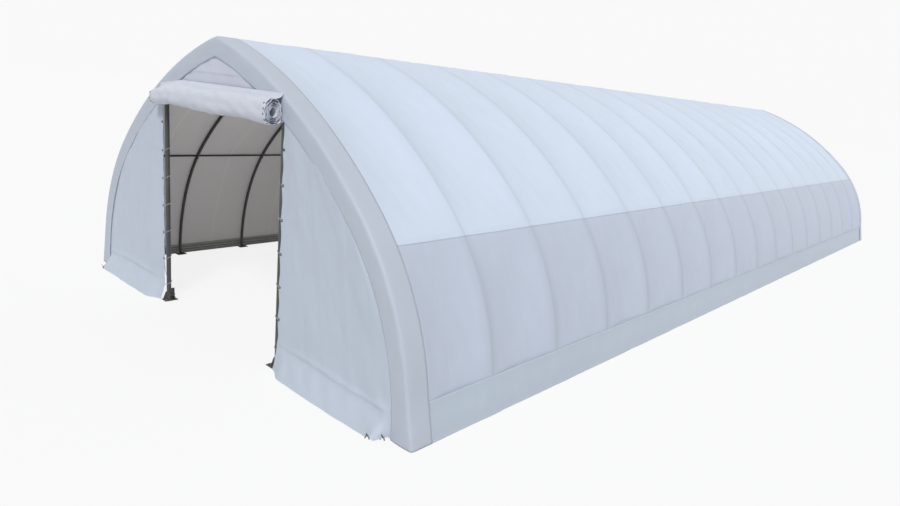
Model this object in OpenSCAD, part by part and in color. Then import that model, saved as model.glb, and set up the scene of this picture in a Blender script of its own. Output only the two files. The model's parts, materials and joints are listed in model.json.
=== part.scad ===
// Gothic-arch fabric storage shelter: bent steel tube arches under a laced fabric cover,
// with a roll-up door and two fabric end panels at each end.
// Origin on the ground at the middle of the floor. X runs across the building,
// Y along the ridge with the front end at -Y, and Z up.

/* [Building] */
// Width across the cover at the ground
building_w = 9144; // [7620:1:10973]
// Length between the outer faces of the two ends
building_l = 24384; // [20320:1:29261]
// Height of the cover at the ridge
building_h = 4572; // [4100:1:5100]
// Radius of the cover's lower curve, which starts upright at the ground
wall_r = 3657; // [3200:1:3700]
// Radius of the cover's upper curve, which runs to the ridge
roof_r = 7704; // [6800:1:9200]
// Bays between arches
bays = 16; // [8:1:20]

/* [Frame] */
// Outside diameter of an arch tube
tube_d = 60; // [48:1:76]
// Outside diameter of the ridge and side purlins
purlin_d = 35; // [28:1:42]
// Height of the side purlins on the cover
purlin_h = 2320; // [1800:10:2600]
// Length of the round fitting where the two rafters meet
ridge_fitting_l = 110; // [80:5:160]
// Height of the base rail's section
rail_h = 190; // [120:5:220]
// Depth of the base rail's section
rail_d = 50; // [30:1:56]
// Sheet thickness of the base rail
rail_t = 4; // [3:0.5:8]
// Height of the base rail above the ground
rail_z = 12; // [12:1:30]

/* [Arch feet] */
// Reach of a foot plate inward from the tube's centre
foot_reach = 130; // [100:5:200]
// Length of a foot plate along the building
foot_l = 200; // [140:5:260]
// Thickness of a foot plate
foot_t = 8; // [6:1:12]
// Diameter of an anchor hole
foot_hole_d = 14; // [10:1:20]
// Distance between the two anchor holes of a foot
foot_hole_pitch = 120; // [90:5:160]
// Distance of the anchor holes inward from the tube's centre
foot_hole_reach = 95; // [70:5:110]

/* [Cover] */
// Thickness of the fabric sheets
sheet_t = 6; // [4:0.5:10]
// Height where the skirt leaves the side wall
skirt_h = 450; // [300:10:600]
// Distance that the skirt stands out at the ground
skirt_flare = 90; // [40:5:150]
// Height of the wall sheet's lower edge above the ground
wall_z = 20; // [12:1:60]
// Width of the end bands that wrap the end arches
valance_w = 280; // [200:5:360]

/* [Ends] */
// Clear width of the doorway between the posts
door_w = 3424; // [2800:10:3800]
// Drop from the end arch's underside, above a door post, to the top of the doorway
door_drop = 310; // [250:5:900]
// Outside diameter of a door post
post_d = 76; // [60:1:90]
// Outside diameter of the door header
header_d = 60; // [48:1:76]
// Diameter of the rolled-up door
roll_d = 300; // [240:10:340]
// Reach of the rolled-up door past each side of the doorway
roll_overhang = 98; // [40:1:200]
// Gap between a door post and the end panel laced to it
lacing_gap = 7; // [4:1:20]

/* [Post feet] */
// Reach of a post's plate towards the doorway
post_plate_reach = 115; // [90:5:160]
// Length of a post's plate along the building
post_plate_l = 230; // [180:5:300]
// Thickness of a post's plate
post_plate_t = 10; // [8:1:16]
// Diameter of a post's anchor holes
post_hole_d = 16; // [12:1:20]
// Distance between the anchor holes across the building
post_hole_x = 110; // [90:5:110]
// Distance between the anchor holes along the building
post_hole_y = 170; // [150:5:200]
// Distance of the anchor holes' middle from the post's centre, towards the doorway
post_hole_offset = 27.5; // [25:0.5:32]
// Height of the gussets on a post's plate
gusset_h = 140; // [80:5:200]
// Thickness of the gussets
gusset_t = 8; // [5:1:12]
// Width of the gussets' top edge
gusset_top_w = 19; // [10:1:30]

/* [Strap ratchet] */
// Height of the ratchet's drum above the ground
ratchet_z = 125; // [90:5:200]
// Width of the ratchet between the outer faces of its cheeks
ratchet_w = 70; // [50:5:90]
// Length of the ratchet's cheeks
ratchet_l = 110; // [90:5:140]
// Height of the ratchet's cheeks
cheek_h = 60; // [50:5:80]
// Thickness of the ratchet's cheeks
cheek_t = 6; // [4:1:8]
// Diameter of the ratchet's drum
drum_d = 42; // [30:1:45]
// Length of the ratchet's lever
lever_l = 120; // [90:5:150]

/* [Fits] */
// Gap between pieces that bear on each other
fit_gap = 0.3; // [0.2:0.05:0.5]

/* [Hidden] */

function two_digits(i) = str(i < 10 ? "0" : "", i);
function arch_name(i) = str("arch_", two_digits(i));

steel = [0.24, 0.25, 0.25];
black_steel = [0.1, 0.1, 0.1];
roof_white = [0.85, 0.89, 0.95];
wall_white = [0.78, 0.82, 0.88];
band_white = [0.76, 0.79, 0.83];
curve_fn = 360;
tube_fn = 48;
roll_fn = 96;
// How far a cut runs past the faces that it opens
overcut = 1;
// Longest piece of a curved sheet or band along its curve
sheet_piece_l = 350;
band_piece_l = 1000;
tubes_per_arc = 3;

tube_r = tube_d / 2;
purlin_r = purlin_d / 2;
post_r = post_d / 2;

// The cover's outline is two arcs a side. The lower one is centred at ground level and
// the upper one passes through the ridge; both share a tangent where they meet.
half_w = building_w / 2;
wall_c = [half_w - wall_r, 0];
radius_step = roof_r - wall_r;
ridge_reach = norm([wall_c.x, building_h]);
join_cos = (roof_r ^ 2 - radius_step ^ 2 - ridge_reach ^ 2) / (2 * radius_step * ridge_reach);
join_a = atan2(building_h, -wall_c.x) - acos(join_cos);
roof_c = wall_c - radius_step * [cos(join_a), sin(join_a)];

// Depths are measured square to the cover's outer face, and keep the arcs' centres.
function wall_angle(z, depth) = asin(z / (wall_r - depth));
function wall_point(a, depth) = wall_c + (wall_r - depth) * [cos(a), sin(a)];
function ridge_angle(depth) = acos(-roof_c.x / (roof_r - depth));
function ridge_z(depth) = roof_c.y + (roof_r - depth) * sin(ridge_angle(depth));

tube_depth = sheet_t + fit_gap + tube_r;
leg_x = wall_point(0, tube_depth).x;

// The side purlin may lie on either arc, so it keeps that arc's centre and radius.
purlin_depth = sheet_t + fit_gap + purlin_r;
purlin_on_wall = purlin_h < wall_r * sin(join_a);
purlin_arc_c = purlin_on_wall ? wall_c : roof_c;
purlin_arc_r = purlin_on_wall ? wall_r : roof_r;
purlin_a = asin((purlin_h - purlin_arc_c.y) / purlin_arc_r);

// Layers of an end, counted inward from its outer face: valance, panels, end arch
front_y = -building_l / 2;
panel_y = front_y + sheet_t + fit_gap;
end_arch_y = panel_y + sheet_t + fit_gap + tube_r;
post_y = panel_y + sheet_t + fit_gap + post_r;
bay_l = -2 * end_arch_y / bays;
function arch_y(i) = end_arch_y + (i - 1) * bay_l;
cover_l = building_l - 2 * (sheet_t + fit_gap);

post_x = door_w / 2 + post_r;
panel_edge_x = post_x + post_r + lacing_gap;
post_top_r = roof_r - tube_depth - tube_r - fit_gap;
door_h = roof_c.y + sqrt(post_top_r ^ 2 - (post_x - roof_c.x) ^ 2) - door_drop;

// ---- shapes that repeat ----

// Puts a piece on the right (side = 1) or mirrors it to the left (side = -1)
module on_side(side) {
    flip_x = side < 0 ? 1 : 0;
    mirror([flip_x, 0, 0]) children();
}

// Puts a piece of the front end at the rear, turned about the building's centre
module at_rear() {
    rotate([0, 0, 180]) children();
}

// Draws an outline of the XZ plane as a piece from y0, going back by len
module along_y(y0, len) {
    translate([0, y0 + len, 0]) rotate([90, 0, 0]) linear_extrude(len) children();
}

// A wedge of the plane between two angles, for cutting arcs out of rings
module wedge_2d(a0, a1, reach) {
    am = (a0 + a1) / 2;
    far = 2 * reach;
    polygon([
        [0, 0], [far * cos(a0), far * sin(a0)],
        [far * cos(am), far * sin(am)], [far * cos(a1), far * sin(a1)],
    ]);
}

// A ring's arc between two angles, kept to the right of the ridge line
module arc_band_2d(c, r, w, a0, a1) {
    intersection() {
        translate(c) intersection() {
            rotate(a1) difference() {
                circle(r, $fn = curve_fn);
                circle(r - w, $fn = curve_fn);
            }
            wedge_2d(a0, a1, r);
        }
        translate([fit_gap / 2, 0]) square([building_w, 2 * building_h]);
    }
}

// Strips of a ring between two angles, none longer than piece_l, set apart by the fit gap
module arc_strips(c, r, w, a0, a1, piece_l, y0, len) {
    count = ceil((a1 - a0) * PI / 180 * r / piece_l);
    step = (a1 - a0) / count;
    gap_a = fit_gap / r * 180 / PI;
    for (k = [0 : count - 1])
        along_y(y0, len) arc_band_2d(c, r, w, a0 + k * step + gap_a / 2, a0 + (k + 1) * step - gap_a / 2);
}

// A bent tube on the arc of radius r about c, between two angles
module bent_tube(c, r, a0, a1) {
    translate([c.x, 0, c.y]) rotate([90, 0, 0]) rotate([0, 0, a0])
        rotate_extrude(angle = a1 - a0, $fn = curve_fn) translate([r, 0]) circle(tube_r, $fn = tube_fn);
}

// Bent tubes end to end between two angles, set apart by the fit gap
module bent_tubes(c, r, a0, a1) {
    step = (a1 - a0) / tubes_per_arc;
    gap_a = fit_gap / r * 180 / PI;
    for (k = [0 : tubes_per_arc - 1])
        bent_tube(c, r, a0 + k * step + gap_a / 2, a0 + (k + 1) * step - gap_a / 2);
}

// A straight tube along Y between two places
module tube_y(x, z, r, y0, y1) {
    translate([x, y1, z]) rotate([90, 0, 0]) cylinder(r = r, h = y1 - y0, $fn = tube_fn);
}

// The area right of x0 under the cover's outline, at a depth inside it
module under_cover_2d(depth, x0) {
    corner_a = acos((x0 - roof_c.x) / (roof_r - depth));
    intersection() {
        translate([x0, 0]) square([half_w, building_h]);
        union() {
            translate(wall_c) circle(wall_r - depth, $fn = curve_fn);
            translate(roof_c) intersection() {
                rotate(corner_a) circle(roof_r - depth, $fn = curve_fn);
                wedge_2d(join_a, 90, roof_r);
            }
        }
    }
}

// The disc of the cover's upper curve, turned so that a corner of its outline is at the ridge
module ridge_disc_2d(depth) {
    translate(roof_c) rotate(ridge_angle(depth)) circle(roof_r - depth, $fn = curve_fn);
}

// ---- steel frame ----

// Foot plate of an arch, from y0 to y1 along the building
module arch_foot(y0) {
    hole_mid = y0 + foot_l / 2;
    difference() {
        translate([leg_x - foot_reach, y0, 0]) cube([foot_reach + tube_r, foot_l, foot_t]);
        for (end = [-1, 1])
            translate([leg_x - foot_hole_reach, hole_mid + end * foot_hole_pitch / 2, -overcut])
                cylinder(d = foot_hole_d, h = foot_t + 2 * overcut, $fn = tube_fn);
    }
}

// The feet of the two end arches lie wholly inside the end panels
function foot_y0(i) = i == 1 ? -tube_r : i == bays + 1 ? tube_r - foot_l : -foot_l / 2;

module arch_half(i) {
    wall_tube_r = wall_r - tube_depth;
    roof_tube_r = roof_r - tube_depth;
    ridge_gap_a = (tube_r + fit_gap) / roof_tube_r * 180 / PI;
    foot_a = wall_angle(foot_t + fit_gap, tube_depth);
    bent_tubes(wall_c, wall_tube_r, foot_a, join_a);
    bent_tubes(roof_c, roof_tube_r, join_a, ridge_angle(tube_depth) - ridge_gap_a);
    arch_foot(foot_y0(i));
}

module arch(i) {
    color(black_steel) translate([0, arch_y(i), 0]) {
        arch_half(i);
        on_side(-1) arch_half(i);
        // the end arches' fitting stops flush with the tube so that it clears the end panel
        fitting_y0 = i == 1 ? -tube_r : -ridge_fitting_l / 2;
        fitting_y1 = i == bays + 1 ? tube_r : ridge_fitting_l / 2;
        tube_y(0, ridge_z(tube_depth), tube_r, fitting_y0, fitting_y1);
    }
}

// One tube a bay, between the arches' faces that stand half_gap from their centres
module bay_tubes(x, z, r, half_gap) {
    for (i = [1 : bays])
        tube_y(x, z, r, arch_y(i) + half_gap, arch_y(i + 1) - half_gap);
}

module ridge_purlin() {
    color(black_steel) bay_tubes(0, ridge_z(tube_depth), purlin_r, ridge_fitting_l / 2 + fit_gap);
}

module side_purlin(side) {
    p = purlin_arc_c + (purlin_arc_r - purlin_depth) * [cos(purlin_a), sin(purlin_a)];
    color(black_steel) on_side(side) bay_tubes(p.x, p.y, purlin_r, tube_r + fit_gap);
}

// The rail is a channel, its web against the cover and its flanges turned inward
module rail_section_2d() {
    depth = sheet_t + fit_gap;
    web_x = wall_point(wall_angle(rail_z + rail_h, depth), depth).x;
    difference() {
        translate([web_x - rail_d, rail_z]) square([rail_d, rail_h]);
        translate([web_x - rail_d - overcut, rail_z + rail_t])
            square([rail_d - rail_t + overcut, rail_h - 2 * rail_t]);
    }
}

module base_rail(side) {
    color(steel) on_side(side) for (i = [1 : bays])
        along_y(arch_y(i) + tube_r + fit_gap, bay_l - tube_d - 2 * fit_gap) rail_section_2d();
}

// ---- cover ----

cover_y0 = -cover_l / 2;

module wall_arc_sheet(a0, a1) {
    arc_strips(wall_c, wall_r, sheet_t, a0, a1, sheet_piece_l, cover_y0, cover_l);
}

module roof_arc_sheet(a0, a1) {
    arc_strips(roof_c, roof_r, sheet_t, a0, a1, sheet_piece_l, cover_y0, cover_l);
}

module roof_cover(side) {
    color(roof_white) on_side(side) {
        if (purlin_on_wall) wall_arc_sheet(purlin_a, join_a);
        roof_arc_sheet(purlin_on_wall ? join_a : purlin_a, ridge_angle(0));
    }
}

module wall_cover(side) {
    color(wall_white) on_side(side) {
        wall_arc_sheet(wall_angle(wall_z, 0), purlin_on_wall ? purlin_a : join_a);
        if (!purlin_on_wall) roof_arc_sheet(join_a, purlin_a);
    }
}

// The skirt hangs from the side wall and slopes out to the ground
module skirt(side) {
    top = wall_point(wall_angle(skirt_h, 0), -fit_gap);
    foot_x = half_w + skirt_flare;
    color(wall_white) on_side(side) along_y(front_y, building_l)
        polygon([[top.x, top.y], [foot_x - sheet_t, 0], [foot_x, 0], [top.x + sheet_t, top.y]]);
}

// ---- ends ----

module valance_half() {
    arc_strips(wall_c, wall_r, valance_w, 0, join_a, band_piece_l, front_y, sheet_t);
    arc_strips(roof_c, roof_r, valance_w, join_a, ridge_angle(0), band_piece_l, front_y, sheet_t);
}

module valance() {
    color(band_white) {
        valance_half();
        on_side(-1) valance_half();
    }
}

module gable_panel() {
    depth = sheet_t + fit_gap;
    gable_w = 2 * (panel_edge_x - fit_gap);
    color(band_white) along_y(panel_y, sheet_t) intersection() {
        translate([-gable_w / 2, door_h]) square([gable_w, building_h]);
        on_side(1) ridge_disc_2d(depth);
        on_side(-1) ridge_disc_2d(depth);
    }
}

module end_panel(side) {
    color(wall_white) on_side(side) along_y(panel_y, sheet_t)
        under_cover_2d(sheet_t + fit_gap, panel_edge_x);
}

module gusset_2d(run, rise) {
    polygon([[0, 0], [run, 0], [gusset_top_w, rise], [0, rise]]);
}

// Plate under a post, with a gusset before and behind it
module post_foot() {
    hole_mid_x = post_x - post_hole_offset;
    plate_edge = panel_edge_x - fit_gap;
    run = post_plate_l / 2 - post_r - fit_gap;
    difference() {
        translate([post_x - post_plate_reach, post_y - post_plate_l / 2, 0])
            cube([plate_edge - post_x + post_plate_reach, post_plate_l, post_plate_t]);
        for (dx = [-1, 1], dy = [-1, 1])
            translate([hole_mid_x + dx * post_hole_x / 2, post_y + dy * post_hole_y / 2, -overcut])
                cylinder(d = post_hole_d, h = post_plate_t + 2 * overcut, $fn = tube_fn);
    }
    for (end = [-1, 1])
        translate([post_x - gusset_t / 2, post_y + end * (post_r + fit_gap), post_plate_t])
            mirror([0, end < 0 ? 1 : 0, 0]) rotate([90, 0, 90])
                linear_extrude(gusset_t) gusset_2d(run, gusset_h);
}

// A door post, cut at its top to the underside of the end arch
module door_post(side) {
    top_corner_a = acos((post_x - post_r - roof_c.x) / post_top_r);
    color(steel) on_side(side) {
        intersection() {
            translate([post_x, post_y, post_plate_t + fit_gap])
                cylinder(r = post_r, h = building_h, $fn = tube_fn);
            along_y(front_y, building_l / 2) translate(roof_c) rotate(top_corner_a)
                circle(post_top_r, $fn = curve_fn);
        }
        post_foot();
    }
}

module header() {
    reach = post_x - post_r - fit_gap;
    color(steel) translate([-reach, post_y, door_h + header_d / 2]) rotate([0, 90, 0])
        cylinder(d = header_d, h = 2 * reach, $fn = tube_fn);
}

// The rolled-up door lies against the gable panel, with its underside level with the header's
module door_roll() {
    roll_l = door_w + 2 * roll_overhang;
    color(roof_white) translate([-roll_l / 2, front_y - fit_gap - roll_d / 2, door_h + roll_d / 2])
        rotate([0, 90, 0]) cylinder(d = roll_d, h = roll_l, $fn = roll_fn);
}

// Strap ratchet on the doorway side of a post: two cheeks, a drum and a raised lever
module ratchet() {
    back_x = post_x - post_r - fit_gap;
    drum_x = back_x - ratchet_l + drum_d / 2;
    side_y = post_y - ratchet_w / 2;
    low_z = ratchet_z - cheek_h / 2;
    drum_l = ratchet_w + 2 * cheek_t;
    color(black_steel) {
        for (dy = [0, ratchet_w - cheek_t])
            translate([back_x - ratchet_l, side_y + dy, low_z]) cube([ratchet_l, cheek_t, cheek_h]);
        translate([back_x - cheek_t, side_y, low_z]) cube([cheek_t, ratchet_w, cheek_h]);
        translate([drum_x, side_y + ratchet_w + cheek_t, ratchet_z]) rotate([90, 0, 0])
            cylinder(d = drum_d, h = drum_l, $fn = tube_fn);
        translate([drum_x - cheek_t / 2, side_y - cheek_t, ratchet_z]) cube([cheek_t, drum_l, lever_l]);
    }
}

for (i = [1 : bays + 1])
    arch(i);
ridge_purlin();
side_purlin(-1);  // purlin_left
side_purlin(1);  // purlin_right
base_rail(-1);  // base_rail_left
base_rail(1);  // base_rail_right
roof_cover(-1);  // roof_cover_left
roof_cover(1);  // roof_cover_right
wall_cover(-1);  // wall_cover_left
wall_cover(1);  // wall_cover_right
skirt(-1);  // skirt_left
skirt(1);  // skirt_right
valance();  // front_valance
at_rear() valance();  // rear_valance
gable_panel();  // front_gable_panel
at_rear() gable_panel();  // rear_gable_panel
end_panel(-1);  // front_panel_left
end_panel(1);  // front_panel_right
at_rear() end_panel(1);  // rear_panel_left
at_rear() end_panel(-1);  // rear_panel_right
door_post(-1);  // front_post_left
door_post(1);  // front_post_right
at_rear() door_post(1);  // rear_post_left
at_rear() door_post(-1);  // rear_post_right
header();  // front_header
at_rear() header();  // rear_header
door_roll();  // front_door_roll
at_rear() door_roll();  // rear_door_roll
union() {  // strap_ratchets
    on_side(-1) ratchet();
    at_rear() on_side(-1) ratchet();
}
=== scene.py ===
"""Looks of a gothic-arch fabric storage shelter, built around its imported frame."""
import json
import logging
import math
from dataclasses import dataclass, field
from enum import Enum

import bpy
import numpy as np
from mathutils import Matrix, Vector


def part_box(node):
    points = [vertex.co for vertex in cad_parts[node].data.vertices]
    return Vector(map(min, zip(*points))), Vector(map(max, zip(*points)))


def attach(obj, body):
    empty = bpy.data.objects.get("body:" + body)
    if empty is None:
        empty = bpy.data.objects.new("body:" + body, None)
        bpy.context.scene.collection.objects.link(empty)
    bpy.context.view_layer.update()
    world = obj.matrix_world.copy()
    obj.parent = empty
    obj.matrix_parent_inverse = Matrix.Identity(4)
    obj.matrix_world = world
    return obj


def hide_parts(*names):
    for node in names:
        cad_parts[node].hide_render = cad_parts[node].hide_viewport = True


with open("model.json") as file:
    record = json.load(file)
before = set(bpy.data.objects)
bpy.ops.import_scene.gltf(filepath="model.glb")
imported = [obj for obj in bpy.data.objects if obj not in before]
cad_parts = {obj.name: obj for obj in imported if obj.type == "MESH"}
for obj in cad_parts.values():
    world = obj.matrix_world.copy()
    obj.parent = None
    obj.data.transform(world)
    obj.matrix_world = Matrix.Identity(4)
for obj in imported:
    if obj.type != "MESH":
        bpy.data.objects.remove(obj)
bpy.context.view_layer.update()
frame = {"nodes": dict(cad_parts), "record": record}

LOG = logging.getLogger("shelter")
Array = np.ndarray


# ---------------------------------------------------------------- sizes and outline


class Side(Enum):
    """The two long sides, by the sign of X at the front end."""

    LEFT = -1
    RIGHT = 1


class End(Enum):
    """The two ends, by the sign that turns a front-end point to its place."""

    FRONT = 1
    REAR = -1

    @property
    def label(self) -> str:
        """Name of the end in lower case."""
        return self.name.lower()


@dataclass(frozen=True)
class Outline:
    """Cross-section of the cover: a wall arc and a roof arc a side, meeting at a tangent.

    A place on it is q: 0 at the ground, 1 where the arcs meet and 2 at the ridge.
    """

    half_w: float
    height: float
    wall_r: float = 3.657
    roof_r: float = 7.704

    @property
    def wall_cx(self) -> float:
        """X of the wall arc's centre, which lies at ground level."""
        return self.half_w - self.wall_r

    @property
    def join(self) -> float:
        """Angle in radians where the two arcs meet."""
        step = self.roof_r - self.wall_r
        reach = math.hypot(self.wall_cx, self.height)
        cosine = (self.roof_r**2 - step**2 - reach**2) / (2 * step * reach)
        return math.atan2(self.height, -self.wall_cx) - math.acos(cosine)

    @property
    def roof_c(self) -> tuple[float, float]:
        """Centre of the roof arc."""
        step = self.roof_r - self.wall_r
        return self.wall_cx - step * math.cos(self.join), -step * math.sin(self.join)

    def at(self, q: Array, depth: Array | float = 0.0) -> tuple[Array, Array, Array]:
        """Points of the right half.

        Args:
            q: Places along the outline, 0 to 2.
            depth: Distance inward from the outer face, in metres.

        Returns:
            X, Z and the angle of the outward normal.
        """
        q, depth = np.broadcast_arrays(np.asarray(q, float), np.asarray(depth, float))
        cx, cz = self.roof_c
        ridge = np.arccos(-cx / (self.roof_r - depth))
        lower = q < 1
        angle = np.where(lower, q * self.join, self.join + (q - 1) * (ridge - self.join))
        radius = np.where(lower, self.wall_r, self.roof_r) - depth
        x = np.where(lower, self.wall_cx, cx) + radius * np.cos(angle)
        z = np.where(lower, 0.0, cz) + radius * np.sin(angle)
        return x, z, angle

    def q_at_height(self, z: float) -> float:
        """Place on the outer face at a height, on the wall arc or the roof arc."""
        if z < self.wall_r * math.sin(self.join):
            return math.asin(z / self.wall_r) / self.join
        cx, cz = self.roof_c
        ridge = math.acos(-cx / self.roof_r)
        return 1 + (math.asin((z - cz) / self.roof_r) - self.join) / (ridge - self.join)

    def half_width(self, z: Array | float, depth: float) -> Array:
        """X of the outline at a height, at a depth inside the outer face."""
        cx, cz = self.roof_c
        z = np.asarray(z, float)
        on_wall = z < (self.wall_r - depth) * math.sin(self.join)
        wall = self.wall_cx + np.sqrt(np.maximum((self.wall_r - depth) ** 2 - z**2, 0))
        roof = cx + np.sqrt(np.maximum((self.roof_r - depth) ** 2 - (z - cz) ** 2, 0))
        return np.where(on_wall, wall, roof)

    def top_at(self, x: Array | float, depth: float) -> Array:
        """Height of the roof arc over X, at a depth inside the outer face."""
        cx, cz = self.roof_c
        return cz + np.sqrt((self.roof_r - depth) ** 2 - (np.abs(x) - cx) ** 2)

    def length(self, q0: float, q1: float) -> float:
        """Length along the outer face between two places."""
        x, z, _ = self.at(np.linspace(q0, q1, 200))
        return float(np.hypot(np.diff(x), np.diff(z)).sum())


FIT_GAP = 0.0003
LACING_GAP = 0.007


@dataclass(frozen=True)
class Plan:
    """Places of the frame's pieces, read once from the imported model, in metres."""

    outline: Outline
    front_y: float
    arch_y: tuple[float, ...]
    arch_x: float
    tube_r: float
    purlin_z: float
    post_x: float
    post_y: float
    post_r: float
    panel_y: float
    panel_x: float
    door_h: float
    roll_r: float
    roll_z: float
    roll_half: float
    skirt_out: float
    skirt_top: float
    rail_top: float

    @classmethod
    def read(cls) -> "Plan":
        """Measures the CAD nodes."""
        wall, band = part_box("wall_cover_right"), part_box("front_valance")
        second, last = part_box("arch_02"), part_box("arch_16")
        first_y = (second[0].y + second[1].y) / 2
        last_y = (last[0].y + last[1].y) / 2
        bay = (last_y - first_y) / 14
        purlin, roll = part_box("purlin_right"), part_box("front_door_roll")
        panel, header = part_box("front_panel_right"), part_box("front_header")
        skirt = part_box("skirt_right")
        tube_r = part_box("base_rail_right")[0].y - (first_y - bay) - FIT_GAP
        post_r = (panel[0].x - header[1].x - LACING_GAP - FIT_GAP) / 2
        return cls(
            outline=Outline(wall[1].x, band[1].z),
            front_y=band[0].y,
            arch_y=tuple(first_y + (i - 1) * bay for i in range(17)),
            arch_x=second[1].x - tube_r,
            tube_r=tube_r,
            purlin_z=(purlin[0].z + purlin[1].z) / 2,
            post_x=header[1].x + FIT_GAP + post_r,
            post_y=(header[0].y + header[1].y) / 2,
            post_r=post_r,
            panel_y=panel[0].y,
            panel_x=panel[0].x,
            door_h=header[0].z,
            roll_r=(roll[1].z - roll[0].z) / 2,
            roll_z=(roll[0].z + roll[1].z) / 2,
            roll_half=roll[1].x,
            skirt_out=skirt[1].x,
            skirt_top=skirt[1].z,
            rail_top=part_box("base_rail_right")[1].z,
        )

    @property
    def bay(self) -> float:
        """Distance between arches."""
        return self.arch_y[1] - self.arch_y[0]


# ---------------------------------------------------------------- shader building


class Wire:
    """A shader socket whose arithmetic adds Math nodes."""

    def __init__(self, shader: "Shader", socket: bpy.types.NodeSocket) -> None:
        """Wraps a socket of a shader's tree."""
        self.shader = shader
        self.socket = socket

    def maths(self, operation: str, *values: "Wire | float") -> "Wire":
        """One Math node on this value and the others, in that order."""
        return self.shader.maths(operation, self, *values)

    def __add__(self, other: "Wire | float") -> "Wire":
        """Sum."""
        return self.maths("ADD", other)

    def __radd__(self, other: float) -> "Wire":
        """Reflected sum."""
        return self.maths("ADD", other)

    def __sub__(self, other: "Wire | float") -> "Wire":
        """Difference."""
        return self.maths("SUBTRACT", other)

    def __rsub__(self, other: float) -> "Wire":
        """Reflected difference, as in 1 - mask."""
        return self.shader.maths("SUBTRACT", other, self)

    def __mul__(self, other: "Wire | float") -> "Wire":
        """Product."""
        return self.maths("MULTIPLY", other)

    def __rmul__(self, other: float) -> "Wire":
        """Reflected product."""
        return self.maths("MULTIPLY", other)

    def __truediv__(self, other: "Wire | float") -> "Wire":
        """Quotient."""
        return self.maths("DIVIDE", other)

    def __pow__(self, other: float) -> "Wire":
        """Power."""
        return self.maths("POWER", other)


class Shader:
    """A material's node tree, ending in one Principled shader."""

    def __init__(self, name: str, **settings: float | tuple) -> None:
        """Makes the material.

        Args:
            name: Name of the material.
            settings: Constant values of the Principled shader, by socket name with _ for a space.
        """
        self.material = bpy.data.materials.new(name)
        self.material.use_nodes = True
        self.tree = self.material.node_tree
        self.principled = self.tree.nodes["Principled BSDF"]
        for key, value in settings.items():
            self.principled.inputs[key.replace("_", " ")].default_value = value

    def node(self, kind: str, settings: dict | None = None, **sockets: object) -> bpy.types.Node:
        """Adds a node.

        Args:
            kind: Node type without its ShaderNode prefix.
            settings: Properties, set before the sockets.
            sockets: Values or wires by socket name with _ for a space, or s0, s1 by number.

        Returns:
            The node.
        """
        made = self.tree.nodes.new("ShaderNode" + kind)
        for key, value in (settings or {}).items():
            setattr(made, key, value)
        for key, value in sockets.items():
            by_number = key[0] == "s" and key[1:].isdigit()
            socket = made.inputs[int(key[1:]) if by_number else key.replace("_", " ")]
            self.feed(socket, value)
        return made

    def feed(self, socket: bpy.types.NodeSocket, value: object) -> None:
        """Links a wire to a socket, or sets its value."""
        if isinstance(value, Wire):
            self.tree.links.new(value.socket, socket)
        else:
            socket.default_value = value

    def maths(self, operation: str, *values: Wire | float) -> Wire:
        """One Math node."""
        sockets = {f"s{i}": v for i, v in enumerate(values)}
        return Wire(self, self.node("Math", {"operation": operation}, **sockets).outputs[0])

    def mix(self, factor: Wire | float, a: object, b: object) -> Wire:
        """Mix of two colours."""
        made = self.node("Mix", {"data_type": "RGBA"}, s0=factor, s6=a, s7=b)
        return Wire(self, made.outputs[2])

    def flat(self) -> tuple[Wire, Wire]:
        """The two flat coordinates of a sheet, in metres."""
        uv = Wire(self, self.node("UVMap", {"uv_map": "flat"}).outputs[0])
        parts = self.node("SeparateXYZ", s0=uv)
        return Wire(self, parts.outputs[0]), Wire(self, parts.outputs[1])

    def place(self) -> tuple[Wire, Wire, Wire, Wire]:
        """Object coordinates as a vector and as X, Y and Z."""
        vector = Wire(self, self.node("TexCoord").outputs["Object"])
        parts = self.node("SeparateXYZ", s0=vector)
        return vector, *(Wire(self, parts.outputs[i]) for i in range(3))

    def stretch(self, vector: Wire, x: float, y: float, z: float) -> Wire:
        """A vector with its parts multiplied."""
        made = self.node("VectorMath", {"operation": "MULTIPLY"}, s0=vector, s1=(x, y, z))
        return Wire(self, made.outputs[0])

    def noise(self, vector: Wire, scale: float, detail: float = 3.0, rough: float = 0.5) -> Wire:
        """Noise of 0 to 1."""
        made = self.node("TexNoise", None, Vector=vector, Scale=scale, Detail=detail, Roughness=rough)
        return Wire(self, made.outputs[0])

    def band(self, value: Wire, low: float, high: float) -> Wire:
        """0 below low, 1 above high and smooth between."""
        made = self.node("MapRange", {"interpolation_type": "SMOOTHSTEP"}, s0=value, s1=low, s2=high)
        return Wire(self, made.outputs[0])

    def bump(self, height: Wire, distance: float, strength: float = 1.0, normal: Wire | None = None) -> Wire:
        """A Bump node over another one's normal."""
        sockets = {"Strength": strength, "Distance": distance, "Height": height}
        if normal is not None:
            sockets["Normal"] = normal
        return Wire(self, self.node("Bump", None, **sockets).outputs[0])

    def finish(self, **sockets: Wire) -> bpy.types.Material:
        """Feeds the Principled shader's sockets and gives the material."""
        for key, value in sockets.items():
            self.feed(self.principled.inputs[key.replace("_", " ")], value)
        return self.material


# ---------------------------------------------------------------- finishes

Colour = tuple[float, float, float]


def rgba(colour: Colour, times: float = 1.0) -> tuple[float, float, float, float]:
    """A colour with alpha, made lighter or darker."""
    return (*(min(c * times, 1.0) for c in colour), 1.0)


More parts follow.
